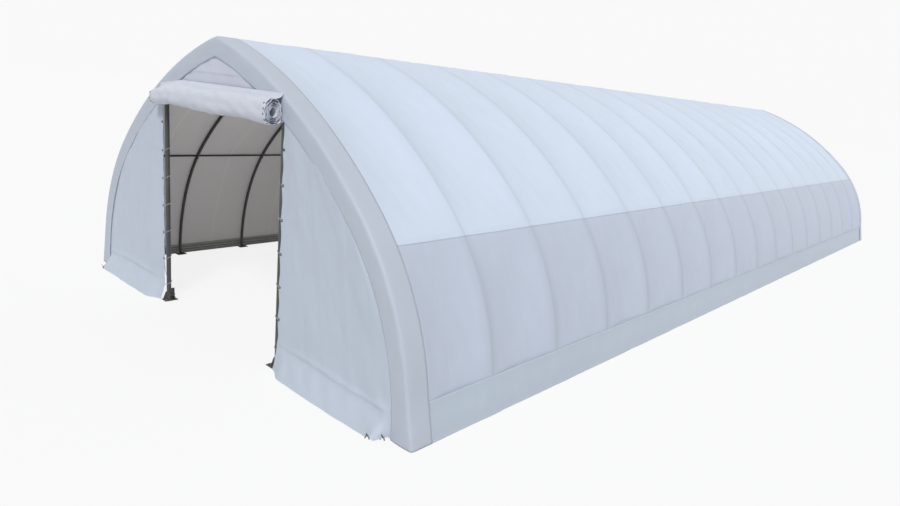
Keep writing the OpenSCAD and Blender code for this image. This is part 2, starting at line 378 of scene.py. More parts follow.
@dataclass(frozen=True)
class CoatedFabric:
    """Woven tape fabric with a coating, welded in panels, with a faint painted glow that stands in for light
    coming through the cloth.
    """

    name: str
    colour: Colour
    roughness: float = 0.5
    mottling: float = 0.035
    thread: float = 0.004
    thread_depth: float = 0.0004
    soil_height: float = 0.35
    soil: float = 0.05
    seam_step: float = 0.0
    seam_from: float = 0.0
    seam_gain: float = 0.0
    tube_shade: float = 0.0
    tube_half: float = 0.036
    # Strength of a painted glow: emission that stands in for light coming through the cloth.
    painted_glow: float = 0.0

    def make(self) -> bpy.types.Material:
        """Builds the material."""
        # Painted light: the emission is a faint even glow for light that comes through the cloth.
        s = Shader(self.name, Specular_IOR_Level=0.35, Emission_Strength=self.painted_glow,
                   Emission_Color=rgba(self.colour))
        u, v = s.flat()
        vector, _, _, z = s.place()
        cloud = s.noise(vector, 0.55, 4.0, 0.55)
        patches = s.noise(s.stretch(vector, 1.0, 2.6, 1.0), 2.1, 3.0)
        tone = (cloud - 0.5) * (2 * self.mottling) + (patches - 0.5) * self.mottling
        slubs = s.noise(s.stretch(vector, 60.0, 60.0, 4.0), 4.0, 2.0)
        tone = tone + (slubs - 0.5) * 0.012
        if self.seam_step:
            seam = self.line(s, u, self.seam_step, self.seam_from, 0.022, 0.004)
            tone = tone + seam * self.seam_gain
            # Painted shade: a darker strip over each arch tube for the tube's shade seen through the cloth,
            # and a broad faint painted shade beside each tube, of uneven strength along the sheet.
            arch = self.line(s, u, self.seam_step, self.seam_from + self.seam_step / 2, self.tube_half, 0.03)
            shade_variation = 0.6 + s.noise(s.stretch(vector, 0.6, 0.6, 0.6), 3.0, 3.0) * 0.8
            rib_shade_halo = self.line(s, u, self.seam_step, self.seam_from + self.seam_step / 2, 0.2, 0.19)
            tone = tone - arch * shade_variation * self.tube_shade - rib_shade_halo * shade_variation * (0.25 * self.tube_shade)
        lighter = s.mix(s.band(tone, -0.12, 0.12), rgba(self.colour, 0.88), rgba(self.colour, 1.12))
        soil_edge = s.band(z + (s.noise(vector, 3.0) - 0.5) * 0.3, self.soil_height, 0.0)
        soiled = s.mix(soil_edge * self.soil, lighter, (0.32, 0.29, 0.24, 1.0))
        pitch = 2 * math.pi / self.thread
        warp = (u * pitch).maths("SINE") * (v * pitch).maths("SINE")
        creases = s.noise(s.stretch(vector, 1.0, 1.0, 0.45), 7.0, 5.0, 0.6)
        normal = s.bump(creases, 0.006, 0.35)
        normal = s.bump(warp, self.thread_depth, 0.25, normal)
        if self.seam_step:
            normal = s.bump(seam, 0.0012, 0.6, normal)
        rough = self.roughness + (cloud - 0.5) * 0.18
        return s.finish(Base_Color=soiled, Roughness=rough, Normal=normal)

    @staticmethod
    def line(s: Shader, u: Wire, step: float, start: float, half: float, soft: float) -> Wire:
        """A strip that repeats along u.

        Args:
            s: The shader.
            u: Flat coordinate in metres.
            step: Distance between strips.
            start: Place of one strip's middle.
            half: Half its width.
            soft: How far its edges fade.

        Returns:
            1 on the strips and 0 elsewhere.
        """
        phase = ((u - start) / step + 100.5).maths("FRACT") - 0.5
        off = phase.maths("ABSOLUTE") * step
        return 1.0 - s.band(off, half - soft, half)


@dataclass(frozen=True)
class PaintedSteel:
    """Painted tube and plate with orange peel, dust and chipped spots."""

    name: str
    colour: Colour
    roughness: float = 0.42
    dust: float = 0.18
    wear: float = 0.35

    def make(self) -> bpy.types.Material:
        """Builds the material."""
        s = Shader(self.name, Specular_IOR_Level=0.5)
        vector, _, _, z = s.place()
        broad = s.noise(vector, 1.7, 4.0)
        fine = s.noise(vector, 38.0, 4.0, 0.65)
        dusty = s.band(broad * 0.7 + fine * 0.3, 0.45, 0.75) * self.dust
        dusted = s.mix(dusty, rgba(self.colour), (0.3, 0.29, 0.27, 1.0))
        low = s.band(z + (fine - 0.5) * 0.2, 0.3, 0.0) * self.dust
        soiled = s.mix(low, dusted, (0.22, 0.2, 0.17, 1.0))
        chips = s.band(s.noise(vector, 55.0, 5.0, 0.7), 0.7, 0.74) * self.wear
        colour = s.mix(chips, soiled, (0.24, 0.2, 0.17, 1.0))
        peel = s.noise(vector, 260.0, 2.0)
        normal = s.bump(peel, 0.0006, 0.3)
        rough = self.roughness + dusty * 0.9 + (fine - 0.5) * 0.15
        return s.finish(Base_Color=colour, Roughness=rough, Normal=normal)


@dataclass(frozen=True)
class ZincSteel:
    """Galvanised bolts, washers and hooks."""

    name: str = "zinc_steel"
    colour: Colour = (0.3, 0.31, 0.32)

    def make(self) -> bpy.types.Material:
        """Builds the material."""
        s = Shader(self.name)
        vector, _, _, _ = s.place()
        spangle = s.noise(vector, 90.0, 3.0)
        white_rust = s.band(s.noise(vector, 24.0, 4.0), 0.58, 0.72)
        colour = s.mix(white_rust * 0.5, rgba(self.colour), (0.45, 0.44, 0.42, 1.0))
        rough = 0.36 + spangle * 0.2 + white_rust * 0.2
        metal = 1.0 - white_rust * 0.6
        return s.finish(Base_Color=colour, Roughness=rough, Metallic=metal,
                        Normal=s.bump(spangle, 0.0004, 0.4))


@dataclass(frozen=True)
class BraidedRope:
    """White lacing rope with a twisted braid, slightly soiled, with painted shade between its strands."""

    name: str = "lacing_rope"
    colour: Colour = (0.62, 0.63, 0.64)
    lay: float = 0.016

    def make(self) -> bpy.types.Material:
        """Builds the material."""
        s = Shader(self.name, Roughness=0.8, Specular_IOR_Level=0.2)
        u, v = s.flat()
        vector, _, _, _ = s.place()
        strands = (u * (2 * math.pi / self.lay) + v * (6 * math.pi)).maths("SINE")
        soil = s.band(s.noise(vector, 9.0, 4.0), 0.45, 0.7)
        colour = s.mix(soil * 0.45, rgba(self.colour), (0.3, 0.29, 0.27, 1.0))
        # Darker between the strands: painted shade in the braid's grooves.
        colour = s.mix((strands * -0.5 + 0.5) * 0.35, colour, (0.2, 0.2, 0.2, 1.0))
        return s.finish(Base_Color=colour, Normal=s.bump(strands, 0.0015, 0.8))


@dataclass(frozen=True)
class Finishes:
    """Every material of the shelter, made once."""

    roof: bpy.types.Material
    wall: bpy.types.Material
    skirt: bpy.types.Material
    band: bpy.types.Material
    panel: bpy.types.Material
    gable: bpy.types.Material
    roll: bpy.types.Material
    inside: bpy.types.Material
    black: bpy.types.Material
    steel: bpy.types.Material
    rail: bpy.types.Material
    zinc: bpy.types.Material
    rope: bpy.types.Material

    @classmethod
    def make(cls, plan: Plan) -> "Finishes":
        """Makes the materials.

        Args:
            plan: Gives the bay length, so that seams and tube lines fall in their places.

        Returns:
            The finishes.
        """
        seams = {"seam_step": plan.bay, "seam_from": plan.arch_y[0] + plan.bay / 2}
        return cls(
            roof=CoatedFabric("roof_fabric", (0.655, 0.735, 0.865), soil=0.0, seam_gain=0.012,
                              tube_shade=0.11, **seams).make(),
            # The wall fabric is darker than the roof fabric: partly its own sheet's tone, partly painted
            # shade of the more upright wall.
            wall=CoatedFabric("wall_fabric", (0.545, 0.6, 0.71), seam_gain=0.012,
                              tube_shade=0.17, **seams).make(),
            skirt=CoatedFabric("skirt_fabric", (0.515, 0.58, 0.67), soil=0.09).make(),
            band=CoatedFabric("band_fabric", (0.52, 0.57, 0.655)).make(),
            panel=CoatedFabric("panel_fabric", (0.55, 0.61, 0.705)).make(),
            gable=CoatedFabric("gable_fabric", (0.63, 0.65, 0.75), soil=0.0).make(),
            roll=CoatedFabric("door_fabric", (0.67, 0.7, 0.785), soil=0.0).make(),
            # The inner fabric glows faintly: painted light for the light that comes through the cloth.
            inside=CoatedFabric("inner_fabric", (0.8, 0.785, 0.78), soil=0.12, mottling=0.02,
                                seam_gain=0.05, painted_glow=0.07, **seams).make(),
            black=PaintedSteel("black_paint", (0.012, 0.012, 0.013)).make(),
            steel=PaintedSteel("grey_green_paint", (0.06, 0.068, 0.063), 0.5).make(),
            rail=PaintedSteel("rail_paint", (0.52, 0.535, 0.52), 0.5).make(),
            zinc=ZincSteel().make(),
            rope=BraidedRope().make(),
        )


# ---------------------------------------------------------------- mesh building


@dataclass(frozen=True)
class Ripple:
    """Smooth seeded unevenness: a sum of slanted waves of falling size."""

    seed: int
    wave_u: float
    wave_v: float
    octaves: int = 5

    def __call__(self, u: Array, v: Array) -> Array:
        """Height of about -1 to 1 at flat coordinates in metres."""
        draws = np.random.RandomState(self.seed)
        total = np.zeros(np.broadcast(u, v).shape)
        for k in range(self.octaves):
            scale = 1.55**k
            turn, phase = draws.uniform(-0.6, 0.6), draws.uniform(0, 2 * math.pi, 2)
            across = u / self.wave_u * math.cos(turn) + v / self.wave_v * math.sin(turn)
            along = v / self.wave_v * math.cos(turn) - u / self.wave_u * math.sin(turn)
            waves = np.sin(2 * math.pi * scale * across + phase[0])
            waves = waves * np.cos(2 * math.pi * scale * along * 0.8 + phase[1])
            total += waves / scale**1.1
        return total / 1.6


def smooth(x: Array | float) -> Array:
    """0 below 0, 1 above 1 and smooth between."""
    t = np.clip(x, 0.0, 1.0)
    return t * t * (3 - 2 * t)


class Sheet:
    """A sheet of fabric made from a grid of points, with its flat size kept."""

    def __init__(self, name: str, points: Array, flat: Array, thick: float = 0.003) -> None:
        """Keeps the grid.

        Args:
            name: Name of the piece.
            points: Rows by columns by three, in the frame.
            flat: Rows by columns by two, the places on the flat cloth in metres.
            thick: Thickness, laid inward of the points.
        """
        self.name = name
        self.points = points
        self.flat = flat
        self.thick = thick

    def turned(self, end: End) -> "Sheet":
        """The same sheet at the given end."""
        if end is End.REAR:
            self.points = self.points * np.array([-1.0, -1.0, 1.0])
        return self

    def build(self, outer: bpy.types.Material, inner: bpy.types.Material,
              outward: Vector) -> bpy.types.Object:
        """Makes the object.

        Args:
            outer: Material of the outer face.
            inner: Material of the inner face.
            outward: Direction that the outer face looks at its middle.

        Returns:
            The piece, riding on the building.
        """
        rows, columns = self.points.shape[:2]
        index = np.arange(rows * columns).reshape(rows, columns)
        quads = np.stack([index[:-1, :-1], index[:-1, 1:], index[1:, 1:], index[1:, :-1]], -1).reshape(-1, 4)
        middle = self.points[rows // 2, columns // 2]
        step_u = self.points[rows // 2, columns // 2 + 1] - middle
        step_v = self.points[rows // 2 + 1, columns // 2] - middle
        if np.cross(step_u, step_v) @ np.array(outward) < 0:
            quads = quads[:, ::-1]
        mesh = bpy.data.meshes.new(self.name)
        mesh.from_pydata(self.points.reshape(-1, 3).tolist(), [], quads.tolist())
        layer = mesh.uv_layers.new(name="flat")
        corners = np.empty(len(mesh.loops), np.int32)
        mesh.loops.foreach_get("vertex_index", corners)
        layer.data.foreach_set("uv", self.flat.reshape(-1, 2)[corners].astype(np.float32).ravel())
        mesh.shade_smooth()
        made = bpy.data.objects.new(self.name, mesh)
        bpy.context.scene.collection.objects.link(made)
        mesh.materials.append(outer)
        mesh.materials.append(inner)
        solid = made.modifiers.new("thickness", "SOLIDIFY")
        solid.thickness = self.thick
        solid.offset = -1.0
        solid.material_offset = 1
        solid.use_quality_normals = True
        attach(made, "root")
        LOG.info("%s: %d points", self.name, rows * columns)
        return made


class Parts:
    """Small hard pieces gathered into one mesh."""

    def __init__(self, name: str) -> None:
        """Starts an empty piece."""
        self.name = name
        self.verts: list[Array] = []
        self.faces: list[list[int]] = []
        self.flat: list[tuple[float, float]] = []
        self.count = 0

    def add(self, verts: Array, faces: list[list[int]], flat: Array | None = None) -> None:
        """Adds points and faces, and the points' flat coordinates."""
        self.verts.append(np.asarray(verts, float))
        self.faces.extend([[i + self.count for i in f] for f in faces])
        flat = np.zeros((len(verts), 2)) if flat is None else flat
        self.flat.extend(map(tuple, flat))
        self.count += len(verts)

    def lathe(self, profile: list[tuple[float, float]], at: Vector, axis: Vector, sides: int = 20,
              turn: float = 0.0) -> None:
        """Turns a profile about an axis.

        Args:
            profile: Radius and height pairs from one end to the other.
            at: Where height 0 is.
            axis: Direction of growing height.
            sides: Points round.
            turn: First point's angle.
        """
        frame_of = Vector(axis).normalized().to_track_quat("Z", "Y").to_matrix()
        basis = np.array(frame_of)
        angles = turn + np.arange(sides) * 2 * math.pi / sides
        ring = np.stack([np.cos(angles), np.sin(angles), np.zeros(sides)], -1)
        rows = [ring * r + np.array([0, 0, h]) for r, h in profile]
        verts = np.concatenate(rows) @ basis.T + np.array(at)
        faces = []
        for k in range(len(profile) - 1):
            for i in range(sides):
                j = (i + 1) % sides
                faces.append([k * sides + i, k * sides + j, (k + 1) * sides + j, (k + 1) * sides + i])
        faces.append(list(range(sides))[::-1])
        faces.append([(len(profile) - 1) * sides + i for i in range(sides)])
        self.add(verts, faces)

    def ring(self, radius: float, bar: float, at: Vector, axis: Vector, sides: int = 24,
             round_: int = 10) -> None:
        """A round ring of round bar."""
        basis = np.array(Vector(axis).normalized().to_track_quat("Z", "Y").to_matrix())
        a = np.arange(sides) * 2 * math.pi / sides
        b = np.arange(round_) * 2 * math.pi / round_
        aa, bb = np.meshgrid(a, b, indexing="ij")
        reach = radius + bar * np.cos(bb)
        verts = np.stack([reach * np.cos(aa), reach * np.sin(aa), bar * np.sin(bb)], -1).reshape(-1, 3)
        faces = [[i * round_ + j, ((i + 1) % sides) * round_ + j,
                  ((i + 1) % sides) * round_ + (j + 1) % round_, i * round_ + (j + 1) % round_]
                 for i in range(sides) for j in range(round_)]
        self.add(verts @ basis.T + np.array(at), faces)

    def tube(self, path: Array, radius: float, sides: int = 10) -> None:
        """A round bar or rope along a path, with its ends closed.

        Args:
            path: Points along the middle.
            radius: Radius of the bar.
            sides: Points round it.
        """
        path = np.asarray(path, float)
        tangent = np.gradient(path, axis=0)
        tangent /= np.linalg.norm(tangent, axis=1)[:, None]
        up = np.array([0.0, 0.0, 1.0]) if abs(tangent[0, 2]) < 0.9 else np.array([1.0, 0.0, 0.0])
        normals = []
        normal = np.cross(tangent[0], up)
        for t in tangent:
            normal = normal - (normal @ t) * t
            normal /= np.linalg.norm(normal)
            normals.append(normal)
        normals = np.array(normals)
        binormals = np.cross(tangent, normals)
        a = np.arange(sides) * 2 * math.pi / sides
        rings = path[:, None] + radius * (np.cos(a)[None, :, None] * normals[:, None]
                                          + np.sin(a)[None, :, None] * binormals[:, None])
        run = np.concatenate([[0], np.cumsum(np.linalg.norm(np.diff(path, axis=0), axis=1))])
        flat = np.stack([np.repeat(run, sides), np.tile(np.arange(sides) / sides, len(path))], -1)
        n = len(path)
        faces = [[k * sides + i, k * sides + (i + 1) % sides,
                  (k + 1) * sides + (i + 1) % sides, (k + 1) * sides + i]
                 for k in range(n - 1) for i in range(sides)]
        faces.append(list(range(sides))[::-1])
        faces.append([(n - 1) * sides + i for i in range(sides)])
        self.add(rings.reshape(-1, 3), faces, flat)

    def build(self, material: bpy.types.Material, slot: str | None = None, smooth_angle: float = 40.0
              ) -> bpy.types.Object:
        """Makes the object, riding on the building.

        Args:
            material: Its finish.
            slot: The record's slot of its finish; not used.
            smooth_angle: Edges sharper than this stay sharp, in degrees.

        Returns:
            The piece.
        """
        mesh = bpy.data.meshes.new(self.name)
        mesh.from_pydata(np.concatenate(self.verts).tolist(), [], self.faces)
        layer = mesh.uv_layers.new(name="flat")
        corners = np.empty(len(mesh.loops), np.int32)
        mesh.loops.foreach_get("vertex_index", corners)
        layer.data.foreach_set("uv", np.array(self.flat, np.float32)[corners].ravel())
        mesh.shade_smooth()
        mesh.set_sharp_from_angle(angle=math.radians(smooth_angle))
        mesh.materials.append(material)
        made = bpy.data.objects.new(self.name, mesh)
        bpy.context.scene.collection.objects.link(made)
        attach(made, "root")
        LOG.info("%s: %d points", self.name, self.count)
        return made


def curve_through(points: list[tuple[float, float, float]], steps: int = 8) -> Array:
    """A smooth path through given points, with steps between each two."""
    p = np.array(points, float)
    padded = np.concatenate([[2 * p[0] - p[1]], p, [2 * p[-1] - p[-2]]])
    t = np.linspace(0, 1, steps, endpoint=False)[:, None]
    runs = []
    for a, b, c, d in zip(padded, padded[1:], padded[2:], padded[3:]):
        bend, twist = 2 * a - 5 * b + 4 * c - d, 3 * b - a - 3 * c + d
        runs.append(0.5 * (2 * b + (c - a) * t + bend * t**2 + twist * t**3))
    return np.concatenate([*runs, p[-1:]])


# ---------------------------------------------------------------- the main cover


@dataclass
class Cover:
    """Roof and wall sheets, drawn over the arches and sagging between them."""

    plan: Plan
    finishes: Finishes
    roof_sag: float = 0.105
    wall_sag: float = 0.078
    tube_round: float = 0.022
    fold: float = 0.005
    dent: float = 0.008
    tuck: float = 0.012
    columns_per_bay: int = 20
    thick: float = 0.003
    ridge_round: float = 0.012
    band_run: float = 0.29
    lap: tuple[float, ...] = (-0.03, -0.023, -0.016, -0.01, -0.005, 0.0)
    purlin_q: float = field(init=False)
    base_q: float = field(init=False)

    def __post_init__(self) -> None:
        """Works out where the sheet is held."""
        self.purlin_q = self.plan.outline.q_at_height(self.plan.purlin_z + 0.015)
        self.base_q = self.plan.outline.q_at_height(self.plan.rail_top)

    def spans(self) -> list[tuple[float, float]]:
        """Free stretches of cloth, from arch to arch and behind the band at each end."""
        lines = list(self.plan.arch_y)
        lines[0] += self.band_run
        lines[-1] -= self.band_run
        return list(zip(lines, lines[1:]))

    def columns(self) -> Array:
        """Places along the building, closer together near each arch."""
        t = np.linspace(-1, 1, self.columns_per_bay + 1)
        t = 0.5 + 0.5 * np.sign(t) * (1 - (1 - np.abs(t)) ** 1.35)
        inner = [a + t[:-1] * (b - a) for a, b in self.spans()]
        end = abs(self.plan.front_y) - self.tuck
        hidden = np.linspace(-end, self.spans()[0][0], 4)[:-1]
        return np.concatenate([hidden, *inner, [self.spans()[-1][1]], -hidden[::-1]])

    def between(self, y: Array) -> Array:
        """0 at the arches and 1 half way between, with a round top over each tube."""
        total = np.zeros(np.shape(y))
        for start, stop in self.spans():
            d = np.clip(np.minimum(y - start, stop - y), 0, None)
            d = np.sqrt(d**2 + self.tube_round**2) - self.tube_round
            total += 1 - (1 - np.clip(d / ((stop - start) / 2), 0, 1)) ** 2
        return total

    def depth(self, q: Array, y: Array, side: Side) -> Array:
        """How far the sheet lies inside the outline.

        Args:
            q: Places on the outline.
            y: Places along the building.
            side: Which side, for its own unevenness.

        Returns:
            Depths in metres.
        """
        between = self.between(y)
        purlin = self.purlin_q
        wall = np.clip((q - self.base_q) / (purlin - self.base_q), 0, 1)
        roof = np.clip((q - purlin) / (2.0 - purlin), 0, 1)
        wall_hump, roof_hump = 4 * wall * (1 - wall), 4 * roof * (1 - roof)
        sag = np.where(q < purlin, self.wall_sag * wall_hump, self.roof_sag * roof_hump)
        seed = 10 * side.value + 40
        run = q * 3.5
        bays = np.floor((y - self.plan.arch_y[0]) / self.plan.bay)
        slack = 1 + 0.22 * np.sin(bays * 2.4 + seed) + 0.1 * np.sin(bays * 5.1 + q * 2)
        held = smooth((q - self.base_q) / 0.12) * smooth((np.abs(q - purlin) - 0.008) / 0.09)
        folds = self.fold * Ripple(seed, 0.34, 3.2)(y + 0.25 * run, run)
        dents = self.dent * Ripple(seed + 3, 1.3, 1.1)(y, run)
        pull = np.exp(-np.abs(y - self.nearest(y)) / 0.22) * np.sin(run * 21 + bays * 1.7) * 0.0016
        depth = between * (sag * slack + (folds + dents) * held) + pull * held * (between > 0.02)
        return np.maximum(depth, -0.006)

    def nearest(self, y: Array) -> Array:
        """Place of the nearest arch."""
        steps = np.round((y - self.plan.arch_y[0]) / self.plan.bay)
        return self.plan.arch_y[0] + np.clip(steps, 0, 16) * self.plan.bay

    def grid(self, q: Array, side: Side, under: float = 0.0) -> Array:
        """Points of one side, a row for each place on the outline, laid under a lap by some depth."""
        y = self.columns()
        qq, yy = np.meshgrid(q, y, indexing="ij")
        depth = self.depth(qq, yy, side) + under * smooth((qq - self.purlin_q + 0.06) / 0.04)
        x, z, _ = self.plan.outline.at(qq, depth)
        cx, cz = self.plan.outline.roof_c
        slope = -cx / (self.plan.outline.height - cz)
        z = z - self.ridge_round * slope * np.exp(-((x / (1.4 * self.ridge_round)) ** 2))
        return np.stack([side.value * x, yy, z], -1)

    def roof(self) -> bpy.types.Object:
        """One sheet from purlin to purlin, over the ridge."""
        lap = self.purlin_q + np.array(self.lap)
        rest = 2 - self.purlin_q
        q = np.concatenate([lap, self.purlin_q + rest * np.array([0.006, 0.015]),
                            np.linspace(self.purlin_q + rest * 0.03, 2, 54)])
        right, left = self.grid(q, Side.RIGHT), self.grid(q[:-1], Side.LEFT)[::-1]
        points = np.concatenate([right, left])
        return self.finish("roof_sheet", points, self.finishes.roof, Vector((0, 0, 1)),
                           ["roof_cover_left", "roof_cover_right"])

    def wall(self, side: Side) -> bpy.types.Object:
        """The sheet below the purlin on one side."""
        low = self.plan.outline.q_at_height(0.02)
        lap = self.purlin_q + np.array(self.lap)
        q = np.concatenate([np.linspace(low, lap[0] - 0.012, 38), lap])
        points = self.grid(q, side, 0.0045)
        return self.finish(f"wall_sheet_{side.name.lower()}", points, self.finishes.wall,
                           Vector((side.value, 0, 0.3)), [f"wall_cover_{side.name.lower()}"])

    def finish(self, name: str, points: Array, material: bpy.types.Material, outward: Vector,
               nodes: list[str]) -> bpy.types.Object:
        """Builds and dresses a sheet of the cover, and hides its CAD nodes."""
        rows, columns = points.shape[:2]
        middle = points[:, columns // 2]
        run = np.concatenate([[0], np.cumsum(np.linalg.norm(np.diff(middle, axis=0), axis=1))])
        yy = points[:, :, 1]
        flat = np.stack([yy, np.broadcast_to(run[:, None], yy.shape)], -1)
        made = Sheet(name, points, flat, self.thick).build(material, self.finishes.inside, outward)
        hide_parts(*nodes)
        return made

    def build(self) -> None:
        """Builds the three sheets."""
        self.roof()
        for side in Side:
            self.wall(side)


@dataclass
class Skirt:
    """Plain band along a long side, hanging from the wall and standing out at the ground."""

    plan: Plan
    finishes: Finishes
    lap: float = 0.05
    proud: float = 0.004
    columns: int = 240
    toe: float = 0.03

    def build(self, side: Side) -> bpy.types.Object:
        """Builds the skirt of one side.

        Args:
            side: Which long side.

        Returns:
            The skirt.
        """
        plan = self.plan
        half = abs(plan.front_y) - 0.004
        y = np.linspace(-half, half, self.columns)
        drop = np.array([-self.lap, -0.02, 0, 0.015, 0.04, 0.09, 0.16, 0.24, 0.32, 0.38, 0.42, 0.437, 0.4455])
        drop = drop / 0.45 * plan.skirt_top
        z = plan.skirt_top - drop
        wall_x, _, _ = plan.outline.at(np.array([plan.outline.q_at_height(h) for h in z]), 0.0)
        t = np.clip(drop / plan.skirt_top, 0, 1)
        out = plan.skirt_out - self.toe * 0.4
        top_x = float(plan.outline.half_width(plan.skirt_top, 0.0))
        x = np.where(drop > 0, top_x + (out - top_x) * t**1.15, wall_x) + self.proud
        x[-1] += self.toe * 0.4
        zz, yy = np.meshgrid(z, y, indexing="ij")
        xx = np.broadcast_to(x[:, None], zz.shape).copy()
        seed = 70 + side.value
        free = smooth(np.broadcast_to(t[:, None], zz.shape) * 1.6)
        xx += free * (0.006 * Ripple(seed, 1.1, 2.0)(yy, zz) + 0.003 * Ripple(seed + 1, 0.31, 1.0)(yy, zz))
        between = Cover(plan, self.finishes).between(yy)
        xx -= (1 - free) * 0.006 * between
        zz = np.maximum(zz, 0.0035)
        points = np.stack([side.value * xx, yy, zz], -1)
        run = np.concatenate([[0], np.cumsum(np.hypot(np.diff(x), np.diff(z)))])
        flat = np.stack([yy, np.broadcast_to(run[:, None], yy.shape)], -1)
        made = Sheet(f"skirt_sheet_{side.name.lower()}", points, flat, 0.003).build(
            self.finishes.skirt, self.finishes.inside, Vector((side.value, 0, 0.2)))
        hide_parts(f"skirt_{side.name.lower()}")
        return made


# ---------------------------------------------------------------- the ends


@dataclass
class EndBand:
    """Band that wraps the end arch: a face on the end and a face along the side."""

    plan: Plan
    finishes: Finishes
    face: float = 0.28
    stand_off: float = 0.02
    side_run: float = 0.33
    rows: int = 84
    flare_height: float = 0.62
    hem: float = 0.018

    def profile(self) -> Array:
        """Depth inward and reach outward of the band's section, from its hem to its rear edge."""
        out = self.stand_off
        hem = [(self.face - 0.03, 0.002), (self.face - 0.004, 0.003), (self.face, 0.5 * out),
               (self.face - 0.003, out - 0.002), (self.face - self.hem, out)]
        flat = [(d, out + 0.004 * math.sin(math.pi * (0.26 - d) / 0.26)) for d in np.linspace(0.24, 0.045, 7)]
        corner = [(0.024, out - 0.001), (0.008, out - 0.01), (0.0, out - 0.026), (-0.004, -0.02)]
        side = [(-0.006, -v) for v in np.linspace(0.05, self.side_run, 8)]
        edge = [(-0.0015, -self.side_run - 0.001)]
        return np.array(hem + flat + corner + side + edge)

    def build(self, end: End) -> bpy.types.Object:
        """Builds the band of one end.

        Args:
            end: Which end.

        Returns:
            The band.
        """
        plan, profile = self.plan, self.profile()
        q = np.concatenate([np.linspace(0, 0.16, 14), np.linspace(0.175, 2, self.rows - 14)])
        halves = []
        for side in (Side.RIGHT, Side.LEFT):
            qq, dd = np.meshgrid(q, profile[:, 0], indexing="ij")
            reach = np.broadcast_to(profile[:, 1], qq.shape)
            run = qq * 3.5
            seed = 90 + side.value + 7 * end.value
            wave = Ripple(seed, 0.9, 1.4)(run, dd * 3 + reach)
            on_face = smooth((dd - 0.02) / 0.05) * smooth((self.face - 0.01 - dd) / 0.05)
            reach = reach + 0.005 * wave * on_face
            on_side = smooth((-0.06 - reach) / 0.05)
            x, z, _ = plan.outline.at(qq, dd + 0.003 * wave * on_side * (reach > -self.side_run))
            flare = np.clip(1 - z / self.flare_height, 0, 1) ** 1.5 * (plan.skirt_out - plan.outline.half_w)
            x = x + flare * (1 - smooth(dd / self.face))
            z = np.maximum(z - 0.0077 * np.exp(-((x / 0.042) ** 2)), 0.0035)
            points = np.stack([side.value * x, plan.front_y - reach, z], -1)
            halves.append(points if side is Side.RIGHT else points[:-1][::-1])
        points = np.concatenate(halves)
        across = np.concatenate([[0], np.cumsum(np.linalg.norm(np.diff(profile, axis=0), axis=1))])
        total = 2 * plan.outline.length(0, 2)
        place = np.linspace(0, total, len(points))
        flat = np.stack(np.meshgrid(place, across, indexing="ij"), -1)
        sheet = Sheet(f"{end.label}_band_sheet", points, flat, 0.0025).turned(end)
        made = sheet.build(self.finishes.band, self.finishes.inside, Vector((0, -end.value, 1)))
        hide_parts(f"{end.label}_valance")
        return made


